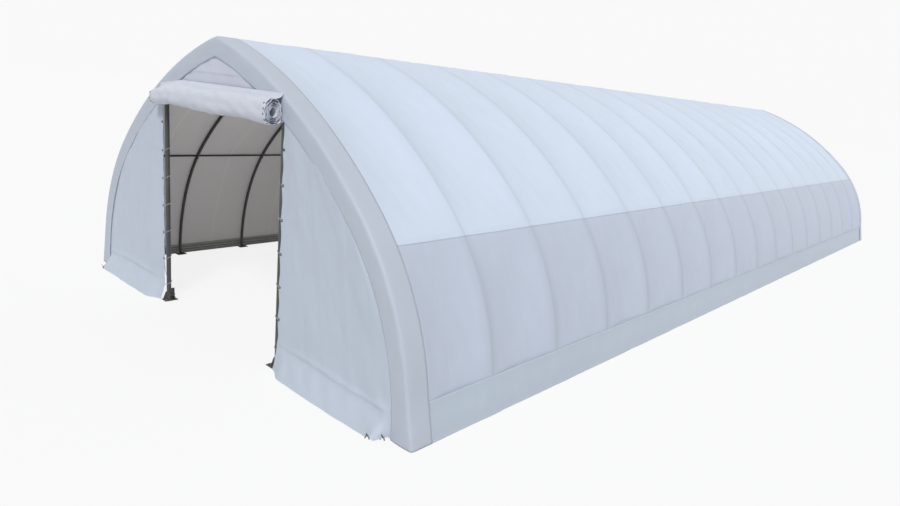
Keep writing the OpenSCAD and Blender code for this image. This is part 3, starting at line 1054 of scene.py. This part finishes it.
@dataclass
class EndPanel:
    """Fabric beside a doorway: laced to the post, and folded out over the ground."""

    plan: Plan
    finishes: Finishes
    margin: float = 0.02
    billow: float = 0.028
    crease_z: float = 0.38
    toe_out: float = 0.2
    eyelet_gap: float = 0.48
    first_eyelet: float = 0.27
    scallop: float = 0.02
    band_cover: float = 0.258
    rows: int = 120
    columns: int = 84

    def eyelets(self) -> Array:
        """Heights of the eyelets along the post."""
        return np.arange(self.first_eyelet, self.plan.door_h - 0.1, self.eyelet_gap)

    def top(self) -> float:
        """Height where the panel's edge at the post meets the outline."""
        return float(self.plan.outline.top_at(self.plan.panel_x, self.margin)) - 0.004

    def build(self, end: End, side: Side) -> bpy.types.Object:
        """Builds one panel.

        Args:
            end: Which end.
            side: Which side of the doorway, seen with that end in front.

        Returns:
            The panel.
        """
        plan = self.plan
        low = np.array([0, 0.004, 0.012, 0.03, 0.06, 0.1, 0.15, 0.2, 0.25, 0.29, 0.32, 0.34, 0.35, 0.36, 0.37,
                        0.385, 0.41, 0.44, 0.48])
        z = np.concatenate([low, np.linspace(0.52, self.top(), self.rows - len(low))])
        u = np.linspace(0, 1, self.columns) ** 1.12
        zz, uu = np.meshgrid(z, u, indexing="ij")
        outer = plan.outline.half_width(zz, self.margin)
        inner = plan.panel_x + 0.004 + self.scalloped(zz)
        xx = inner + (outer - inner) * uu
        out = self.reach(xx, zz, uu, 20 + side.value + 3 * end.value)
        drop = self.ground(xx, zz, uu)
        points = np.stack([side.value * xx, plan.panel_y - 0.001 - out, np.maximum(zz + drop, 0.0035)], -1)
        flat = np.stack([xx, zz], -1)
        name = f"{end.label}_panel_sheet_{side.name.lower()}"
        made = Sheet(name, points, flat, 0.003).turned(end).build(
            self.finishes.panel, self.finishes.inside, Vector((0, -end.value, 0)))
        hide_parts(f"{end.label}_panel_{self.node_side(end, side)}")
        width, height = float(outer[0, 0] - plan.panel_x), self.top()
        return made

    @staticmethod
    def node_side(end: End, side: Side) -> str:
        """Name of the CAD node's side: the rear end is the front end turned half round."""
        flipped = side.value * end.value
        return "right" if flipped > 0 else "left"

    def scalloped(self, z: Array) -> Array:
        """How far the edge at the post draws back between its eyelets."""
        phase = (z - self.first_eyelet) / self.eyelet_gap
        return self.scallop * np.sin(math.pi * phase) ** 2

    def reach(self, x: Array, z: Array, u: Array, seed: int) -> Array:
        """How far the sheet stands out of its plane.

        Args:
            x: Places across the end, from its middle.
            z: Heights.
            u: Share of the way from the post to the outline.
            seed: Sets the unevenness.

        Returns:
            Distances in metres, never more than the band hides next to the outline.
        """
        edge = self.plan.outline.half_width(z, self.margin) - x
        clear = smooth((edge - self.band_cover) / 0.13)
        held = smooth(u / 0.22) * clear
        body = smooth((self.top() - z) / 0.8)
        soft = self.billow * held * body * (0.7 + 0.5 * Ripple(seed, 2.6, 3.4)(x, z))
        folds = 0.006 * held * Ripple(seed + 5, 0.5, 1.9)(x + 0.3 * z, z)
        crease = self.crease_z + 0.06 * (0.5 - u) + 0.014 * np.sin(u * 9 + seed)
        below = np.clip((crease - z) / crease, 0, 1)
        flare = self.toe_out * (0.4 + 0.6 * smooth(u / 0.12)) * clear * below**1.6
        pouch = 0.018 * np.exp(-(((z - crease) / 0.04) ** 2)) * (0.4 + 0.6 * smooth(u * 3)) * clear
        straight_hem = 0.2 + 0.8 * smooth(z / 0.16)
        wrinkle = 0.009 * below * straight_hem * np.sin(x * 16 + 2.2 * np.sin(z * 9 + seed)) * smooth(u / 0.1)
        ripples = (folds * (1 - below) + wrinkle + self.fan(edge, z, seed)) * clear
        return np.maximum(soft + ripples + self.ties(x, z) + flare + pouch, 0.0)

    def ties(self, x: Array, z: Array) -> Array:
        """Puckers that spread from each eyelet."""
        total = np.zeros_like(x)
        for k, height in enumerate(self.eyelets()):
            r = np.hypot((x - self.plan.panel_x - 0.03), (z - height) * 1.3)
            angle = np.arctan2(z - height, x - self.plan.panel_x + 0.05)
            total += 0.005 * np.cos(angle * 7 + k) * np.exp(-r / 0.16) * smooth(r / 0.04)
        return total

    @staticmethod
    def fan(edge: Array, z: Array, seed: int) -> Array:
        """Creases that spread from the lower outer corner."""
        angle = np.arctan2(z - 0.02, edge)
        return 0.01 * np.sin(angle * 14 + seed) * np.exp(-edge / 0.7) * smooth((0.9 - z) / 0.6)

    def ground(self, x: Array, z: Array, u: Array) -> Array:
        """Lift of the lowest edge where it has drawn up over the ground fixings."""
        lift = 0.045 * np.exp(-(((u - 0.84) / 0.018) ** 2)) + 0.04 * np.exp(-(((u - 0.888) / 0.012) ** 2))
        return lift * np.clip(1 - z / 0.2, 0, 1)


@dataclass
class GablePanel:
    """Fabric over the doorway, with a level seam."""

    plan: Plan
    finishes: Finishes
    seam_z: float = 4.04
    step: float = 0.008
    margin: float = 0.02
    rows: int = 60
    columns: int = 96

    def build(self, end: End) -> bpy.types.Object:
        """Builds one gable panel.

        Args:
            end: Which end.

        Returns:
            The panel.
        """
        plan = self.plan
        half = plan.panel_x - 0.004
        u = np.linspace(-1, 1, self.columns + 1)
        v = np.linspace(0, 1, self.rows)
        vv, uu = np.meshgrid(v, u, indexing="ij")
        xx = uu * half
        top = plan.outline.top_at(xx, self.margin)
        low = plan.door_h + 0.004
        zz = low + (top - low) * vv
        held = smooth((top - zz) / 0.25) * smooth((zz - low) / 0.2)
        out = 0.007 * held * Ripple(33 + end.value, 1.3, 0.9)(xx, zz)
        out += 0.004 * held * Ripple(35 + end.value, 0.35, 0.8)(xx + 0.4 * zz, zz)
        above = zz - self.seam_z
        lap = self.step * smooth((above + 0.014) / 0.012) * np.exp(-np.maximum(above, 0) / 0.12)
        points = np.stack([xx, plan.panel_y - 0.001 - np.maximum(out + 0.004, 0) - lap, zz], -1)
        made = Sheet(f"{end.label}_gable_sheet", points, np.stack([xx, zz], -1), 0.003).turned(end).build(
            self.finishes.gable, self.finishes.inside, Vector((0, -end.value, 0)))
        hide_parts(f"{end.label}_gable_panel")
        area = float(np.trapz(top[0] - low, xx[0]))
        return made


@dataclass
class RolledDoor:
    """The doorway's curtain, wound up loosely under the gable."""

    plan: Plan
    finishes: Finishes
    core: float = 0.052
    pitch: float = 0.0175
    tall: float = 1.2
    flat_front: float = 0.9
    flap_drop: float = 0.1
    apron_rows: int = 8
    crease_x: float = -1.02
    columns: int = 92
    per_turn: int = 44
    sag: float = 0.018

    def eyelets(self, end: End, points: Array) -> None:
        """Rings along the free edge of the door, where it shows at the end of the roll.

        Args:
            end: Which end.
            points: The door's grid, from its core outward.
        """
        rings, turn = Parts(f"{end.label}_door_eyelets"), np.array([end.value, end.value, 1.0])
        outer = points[-self.per_turn - self.apron_rows:-self.apron_rows - 4]
        for k, row in enumerate(range(2, len(outer) - 2, 3)):
            for column in (-2, 1):
                here = outer[row, column]
                along = outer[row + 1, column] - outer[row - 1, column]
                across = outer[row, column + 1] - outer[row, column - 1]
                out = np.cross(along, across)
                out /= np.linalg.norm(out)
                centre = outer[:, column].mean(0)
                out = out if out @ (here - centre) > 0 else -out
                at = (here + 0.002 * out + 0.008 * (-1) ** k * np.array([1.0, 0, 0])) * turn
                rings.ring(0.011, 0.0035, Vector(at), Vector(out * turn), 16, 8)
                rings.lathe([(0.0095, -0.001), (0.0095, 0.0012)], Vector(at), Vector(out * turn), 14)
        rings.build(self.finishes.steel)

    def apron(self, x: Array, y: Array, z: Array, past: Array) -> Array:
        """Rows that carry the cloth from the top of the roll up and back to the gable."""
        t = np.linspace(0, 1, self.apron_rows + 1)[1:, None]
        top = self.plan.roll_z + self.plan.roll_r + 0.085 - 0.09 * past
        back = self.plan.front_y - 0.024
        rise = z + (top - z) * t**1.7
        gone = y + (back - y) * (1 - (1 - t) ** 1.7)
        return np.stack([np.broadcast_to(x, rise.shape), gone, rise], -1)

    def build(self, end: End) -> bpy.types.Object:
        """Builds one rolled-up door.

        Args:
            end: Which end.

        Returns:
            The door.
        """
        plan = self.plan
        radius = plan.roll_r - 0.006
        turns = (radius - self.core) / self.pitch
        count = int(turns * self.per_turn)
        theta = np.linspace(0, turns * 2 * math.pi, count)
        start = math.radians(78) + theta[-1]
        x = np.linspace(-plan.roll_half, plan.roll_half, self.columns)
        extra = self.crease_x + np.array([-0.03, -0.012, 0, 0.012, 0.03])
        x = np.unique(np.concatenate([x, extra]))
        tt, xx = np.meshgrid(theta, x, indexing="ij")
        spiral = self.core + self.pitch * tt / (2 * math.pi)
        share = tt / theta[-1]
        angle = start - tt
        looseness = 0.013 * Ripple(51 + end.value, 1.9, 2.6)(xx, angle) * share
        looseness += 0.009 * Ripple(57 + end.value, 0.33, 1.6)(xx + 0.05 * angle, angle) * share
        crease = np.exp(-(((xx - self.crease_x) / 0.022) ** 2))
        past = np.clip((self.crease_x - xx) / (self.crease_x + plan.roll_half), 0, 1)
        radial = spiral + looseness - 0.012 * crease * share
        radial = radial * (1 - 0.07 * smooth((self.crease_x - xx) / 0.03)) * (1 - 0.32 * past**1.4)
        deep = radial * np.cos(angle) * self.flat_front
        high = radial * np.sin(angle) * self.tall
        squared = 0.1 * np.abs(np.sin(2 * angle)) * share
        deep, high = deep * (1 + squared), high * (1 + squared * 0.5)
        centre_y = plan.front_y - plan.roll_r - 0.012
        yy = centre_y + deep + 0.03 * past**1.3
        droop = self.sag * np.cos(xx / plan.roll_half * math.pi / 2) + 0.02 * smooth((xx - 1.0) / 0.9)
        zz = plan.roll_z + 0.01 + high - droop - self.flap_drop * past**1.2
        frayed = np.exp(-(plan.roll_half - np.abs(xx)) / 0.02) * share**2
        points = np.stack([xx + 0.013 * frayed * np.sin(9.5 * angle), yy, zz], -1)
        points = np.concatenate([points, self.apron(xx[-1], yy[-1], zz[-1], past[-1])])
        xx = points[:, :, 0]
        steps = np.linalg.norm(np.diff(points, axis=0), axis=2).mean(axis=1)
        run = np.concatenate([[0], np.cumsum(steps)])
        flat = np.stack([xx, np.broadcast_to(run[:, None], xx.shape)], -1)
        sheet = Sheet(f"{end.label}_door_sheet", points, flat, 0.0025).turned(end)
        self.eyelets(end, points)
        made = sheet.build(self.finishes.roll, self.finishes.roll, Vector((0, -end.value, 0)))
        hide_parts(f"{end.label}_door_roll")
        return made


@dataclass
class Lacing:
    """Rope and eyelets that hold the end panels to the door posts."""

    plan: Plan
    finishes: Finishes
    panel: EndPanel
    rope_r: float = 0.005
    eyelet_r: float = 0.016
    inset: float = 0.034

    def loop(self, side: int, z: float, rise: float) -> list[tuple[float, float, float]]:
        """Points of one turn round the post, from an eyelet and on to the next.

        Args:
            side: Sign of the doorway's side.
            z: Height of the eyelet.
            rise: Height to the next eyelet.

        Returns:
            Points along the rope.
        """
        plan = self.plan
        r = plan.post_r + self.rope_r + 0.001
        eye_x = plan.panel_x + self.inset
        face = plan.panel_y - 0.004 - self.rope_r
        behind = plan.panel_y + 0.012
        points = [(eye_x, face, z), (plan.post_x + 0.02, plan.post_y - r, z + 0.012)]
        for degrees in (-95, -140, -185, -230, -275):
            a = math.radians(degrees)
            climb = 0.012 + 0.07 * (-95 - degrees) / 180
            points.append((plan.post_x + r * math.cos(a), plan.post_y + r * math.sin(a), z + climb))
        points.append((plan.panel_x + 0.012, behind + 0.03, z + 0.14))
        points.append((plan.panel_x + 0.03, behind, z + rise * 0.6))
        points.append((eye_x + 0.004, behind - 0.004, z + rise - 0.03))
        return [(side * x, y, h) for x, y, h in points]

    def build(self, end: End) -> None:
        """Builds the rope and the eyelets of one end.

        Args:
            end: Which end.
        """
        rope, rings = Parts(f"{end.label}_lacing_rope"), Parts(f"{end.label}_eyelets")
        turn = np.array([end.value, end.value, 1.0])
        for side in Side:
            heights = self.panel.eyelets()
            points: list[tuple[float, float, float]] = []
            for z in heights[:-1]:
                points += self.loop(side.value, z, self.panel.eyelet_gap)
            eye_x = self.plan.panel_x + self.inset
            points.append((side.value * eye_x, self.plan.panel_y - 0.01, heights[-1]))
            rope.tube(curve_through(points, 6) * turn, self.rope_r, 8)
            for z in heights:
                at = np.array([side.value * eye_x, self.plan.panel_y - 0.0055, z]) * turn
                rings.ring(self.eyelet_r, 0.0045, Vector(at), Vector((0, 1, 0)))
                rings.lathe([(self.eyelet_r - 0.001, -0.001), (self.eyelet_r - 0.001, 0.001)], Vector(at),
                            Vector((0, 1, 0)), 16)
        rope.build(self.finishes.rope)
        rings.build(self.finishes.black)


@dataclass
class GroundFixings:
    """Hooks that peg the foot of the end panels, with the eyelets that they hold."""

    plan: Plan
    finishes: Finishes
    bar: float = 0.007
    places: tuple[tuple[float, float], ...] = ((0.84, 0.21), (0.888, 0.085))

    def build(self, end: End) -> bpy.types.Object:
        """Builds the hooks of one end.

        Args:
            end: Which end.

        Returns:
            The hooks.
        """
        hooks = Parts(f"{end.label}_ground_hooks")
        turn = np.array([end.value, end.value, 1.0])
        plan = self.plan
        width = float(plan.outline.half_width(0.05, 0.02)) - plan.panel_x
        for side in Side:
            for share, reach in self.places:
                x = plan.panel_x + width * share
                y = plan.panel_y - reach
                path = curve_through([
                    (side.value * (x - 0.03), y - 0.03, self.bar), (side.value * (x - 0.028), y - 0.02, 0.03),
                    (side.value * (x - 0.01), y - 0.012, 0.042), (side.value * (x + 0.012), y - 0.008, 0.034),
                    (side.value * (x + 0.02), y - 0.004, self.bar)], 6)
                hooks.tube(path * turn, self.bar, 10)
                hooks.ring(0.016, 0.004, Vector(np.array([side.value * x, y - 0.03, 0.07]) * turn),
                           Vector((0.2, 1, 0.4)))
        return hooks.build(self.finishes.black, "black_steel")


# ---------------------------------------------------------------- steel details


@dataclass
class Hardware:
    """Anchor bolts, purlin clamps and the pressed ribs of the base rails."""

    plan: Plan
    finishes: Finishes
    foot_reach: float = 0.095
    foot_pitch: float = 0.12
    foot_top: float = 0.008
    post_plate: float = 0.01
    post_hole_x: float = 0.11
    post_hole_y: float = 0.17
    post_offset: float = 0.0275
    rib_r: float = 0.006

    def bolt(self, parts: Parts, at: Vector, axis: Vector, size: float = 0.006) -> None:
        """Washer, nut and stud end, standing on a face at a point."""
        parts.lathe([(0.3 * size, 0), (2.3 * size, 0), (2.4 * size, 0.0008), (2.4 * size, 0.0024),
                     (1.2 * size, 0.0026)], at, axis, 20)
        nut = 1.83 * size
        parts.lathe([(nut * 0.9, 0.0026), (nut, 0.0034), (nut, 0.0116), (nut * 0.88, 0.0124),
                     (size, 0.0126)], at, axis, 6)
        parts.lathe([(size, 0.0126), (size, 0.021), (size * 0.75, 0.0228)], at, axis, 14)

    def anchors(self) -> bpy.types.Object:
        """Anchor bolts of the arch feet and door posts."""
        parts, up, plan = Parts("anchor_bolts"), Vector((0, 0, 1)), self.plan
        for i in range(1, 18):
            low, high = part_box(f"arch_{i:02d}")
            middle = (low.y + high.y) / 2
            for side in Side:
                for dy in (-0.5, 0.5):
                    x = side.value * (plan.arch_x - self.foot_reach)
                    self.bolt(parts, Vector((x, middle + dy * self.foot_pitch, self.foot_top)), up)
        for end in End:
            for side in Side:
                x = plan.post_x - self.post_offset
                for dx in (-0.5, 0.5):
                    for dy in (-0.5, 0.5):
                        at = Vector((side.value * (x + dx * self.post_hole_x),
                                     end.value * (plan.post_y + dy * self.post_hole_y), self.post_plate))
                        self.bolt(parts, at, up, 0.007)
        return parts.build(self.finishes.zinc)

    def clamps(self) -> bpy.types.Object:
        """Bands and bolts that clamp the purlins to the arches."""
        parts, plan = Parts("purlin_clamps"), self.plan
        q = plan.outline.q_at_height(plan.purlin_z)
        angle = q * plan.outline.join
        for y in plan.arch_y:
            for side in Side:
                along = Vector((-side.value * math.sin(angle), 0, math.cos(angle)))
                inward = Vector((-side.value * math.cos(angle), 0, -math.sin(angle)))
                depth = plan.outline.half_w - plan.arch_x
                x, z, _ = plan.outline.at(np.array([q]), depth)
                centre = Vector((side.value * float(x[0]), y, float(z[0])))
                r = plan.tube_r + 0.002
                parts.lathe([(r - 0.004, -0.02), (r, -0.02), (r + 0.0012, -0.018), (r + 0.0012, 0.018),
                             (r, 0.02), (r - 0.004, 0.02)], centre, along, 32)
                self.bolt(parts, centre + inward * (r + 0.001), inward, 0.005)
        return parts.build(self.finishes.black, "black_steel")

    def ribs(self) -> bpy.types.Object:
        """Ribs pressed along the web of each base rail, in the darker paint: painted shade of the pressed
        grooves.
        """
        parts, plan = Parts("rail_ribs"), self.plan
        low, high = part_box("base_rail_right")
        web = high.x - 0.004
        for z in (low.z + (high.z - low.z) * 0.36, low.z + (high.z - low.z) * 0.66):
            for a, b in zip(plan.arch_y, plan.arch_y[1:]):
                for side in Side:
                    gap = plan.tube_r + 0.012
                    path = np.array([[side.value * web, y, z] for y in np.linspace(a + gap, b - gap, 4)])
                    parts.tube(path, self.rib_r, 10)
        # The darker paint on the ribs is painted shade along the rail's grooves.
        return parts.build(self.finishes.steel, "dark_steel")

    def build(self) -> None:
        """Builds all the hardware."""
        self.anchors()
        self.clamps()
        self.ribs()


def dress_frame(finishes: Finishes) -> None:
    """Gives every CAD node that stays in view its paint."""
    record = frame["record"]
    slots = {row["node"]: row["material_slot"] for row in record["subparts"]}
    paints = {"black_steel": finishes.black, "dark_steel": finishes.steel}
    for name, node in frame["nodes"].items():
        paint = finishes.rail if name.startswith("base_rail") else paints.get(slots.get(name, ""))
        if paint is None:
            continue
        node.data.materials.clear()
        node.data.materials.append(paint)
        LOG.info("%s: %s", name, paint.name)


# ---------------------------------------------------------------- studio


@dataclass
class Studio:
    """Floor, lights and camera."""

    eye: tuple[float, float, float] = (9.278, -17.093, 4.124)
    heading: float = 131.51
    tilt: float = -14.07
    roll: float = 5.6
    lens: float = 25.84
    floor_half: float = 150.0
    floor_tone: float = 0.995

    def camera(self) -> None:
        """Places the camera."""
        data = bpy.data.cameras.new("camera")
        data.lens = self.lens
        data.sensor_width = 36.0
        data.clip_end = 500.0
        made = bpy.data.objects.new("camera", data)
        bpy.context.scene.collection.objects.link(made)
        a, e, r = (math.radians(v) for v in (self.heading, self.tilt, self.roll))
        forward = Vector((math.cos(e) * math.cos(a), math.cos(e) * math.sin(a), math.sin(e)))
        level = forward.cross(Vector((0, 0, 1))).normalized()
        up = level.cross(forward)
        right = math.cos(r) * level + math.sin(r) * up
        top = -math.sin(r) * level + math.cos(r) * up
        basis = Matrix((right, top, -forward)).transposed()
        made.matrix_world = Matrix.Translation(self.eye) @ basis.to_4x4()
        bpy.context.scene.camera = made

    def pale(self, tree: bpy.types.NodeTree, lit: bpy.types.NodeSocket, pale: bpy.types.NodeSocket,
             share: float) -> bpy.types.NodeSocket:
        """Mixes a plain pale tone over what is lit, for the camera and in glossy and clear pieces.

        Args:
            tree: The tree that holds both.
            lit: The lit shader's socket.
            pale: The pale shader's socket.
            share: How much of the pale tone those rays see.

        Returns:
            The mix's socket.
        """
        path = tree.nodes.new("ShaderNodeLightPath")
        seen = tree.nodes.new("ShaderNodeMath")
        seen.operation = "MAXIMUM"
        tree.links.new(path.outputs["Is Camera Ray"], seen.inputs[0])
        tree.links.new(path.outputs["Is Glossy Ray"], seen.inputs[1])
        both = tree.nodes.new("ShaderNodeMath")
        both.operation = "MAXIMUM"
        tree.links.new(seen.outputs[0], both.inputs[0])
        tree.links.new(path.outputs["Is Transmission Ray"], both.inputs[1])
        scaled = tree.nodes.new("ShaderNodeMath")
        scaled.operation = "MULTIPLY"
        scaled.inputs[1].default_value = share
        tree.links.new(both.outputs[0], scaled.inputs[0])
        mix = tree.nodes.new("ShaderNodeMixShader")
        tree.links.new(scaled.outputs[0], mix.inputs[0])
        tree.links.new(lit, mix.inputs[1])
        tree.links.new(pale, mix.inputs[2])
        return mix.outputs[0]

    def floor(self) -> None:
        """Pale floor that keeps the shelter's shadow."""
        h = self.floor_half
        mesh = bpy.data.meshes.new("floor")
        square = [(-h, -h, -0.001), (h, -h, -0.001), (h, h, -0.001), (-h, h, -0.001)]
        mesh.from_pydata(square, [], [[0, 1, 2, 3]])
        made = bpy.data.objects.new("floor", mesh)
        bpy.context.scene.collection.objects.link(made)
        shader = Shader("floor_paint", Base_Color=(0.8, 0.8, 0.8, 1), Roughness=0.9, Specular_IOR_Level=0.0)
        tree = shader.tree
        glow = shader.node("Emission", None, Color=(1, 1, 1, 1), Strength=self.floor_tone)
        out = tree.nodes["Material Output"]
        mixed = self.pale(tree, shader.principled.outputs[0], glow.outputs[0], 0.85)
        tree.links.new(mixed, out.inputs[0])
        mesh.materials.append(shader.material)

    def world(self) -> None:
        """Soft light from all round, a little stronger from above."""
        world = bpy.data.worlds.new("studio")
        bpy.context.scene.world = world
        world.use_nodes = True
        tree = world.node_tree
        lit = tree.nodes["Background"]
        lit.inputs[0].default_value = (0.96, 0.98, 1.0, 1)
        lit.inputs[1].default_value = 0.38
        pale = tree.nodes.new("ShaderNodeBackground")
        pale.inputs[0].default_value = (1, 1, 1, 1)
        pale.inputs[1].default_value = 0.947
        out = tree.nodes["World Output"]
        tree.links.new(self.pale(tree, lit.outputs[0], pale.outputs[0], 1.0), out.inputs[0])

    def lamp(self, name: str, energy: float, angle: float, heading: float, height: float) -> None:
        """A sun of soft light from a heading, measured from +X towards +Y, and a height, in degrees."""
        data = bpy.data.lights.new(name, "SUN")
        data.energy = energy
        data.angle = math.radians(angle)
        made = bpy.data.objects.new(name, data)
        bpy.context.scene.collection.objects.link(made)
        a, e = math.radians(heading), math.radians(height)
        towards = Vector((math.cos(e) * math.cos(a), math.cos(e) * math.sin(a), math.sin(e)))
        made.rotation_mode = "QUATERNION"
        made.rotation_quaternion = towards.to_track_quat("Z", "Y")

    def build(self) -> None:
        """Sets up the studio."""
        view = bpy.context.scene.view_settings
        view.view_transform = "Standard"
        self.camera()
        self.floor()
        self.world()
        self.lamp("key", 1.8, 14.0, -52.0, 46.0)
        self.lamp("fill", 0.3, 60.0, 60.0, 60.0)


# ---------------------------------------------------------------- the shelter


def corners(box: tuple[Vector, Vector]) -> list[list[float]]:
    """A box as plain lists."""
    return [list(box[0]), list(box[1])]


def main() -> None:
    """Builds every sub-assembly in order and reports each."""
    logging.basicConfig(level=logging.INFO, format="%(message)s")
    studio = Studio()
    studio.build()
    plan = Plan.read()
    finishes = Finishes.make(plan)
    LOG.info("bay %.4f m, tube radius %.4f m, post radius %.4f m", plan.bay, plan.tube_r, plan.post_r)
    dress_frame(finishes)
    Cover(plan, finishes).build()
    panel = EndPanel(plan, finishes)
    for side in Side:
        Skirt(plan, finishes).build(side)
    for end in End:
        EndBand(plan, finishes).build(end)
        GablePanel(plan, finishes).build(end)
        RolledDoor(plan, finishes).build(end)
        for side in Side:
            panel.build(end, side)
        Lacing(plan, finishes, panel).build(end)
        GroundFixings(plan, finishes).build(end)
    Hardware(plan, finishes).build()


if __name__ == "__main__":
    main()
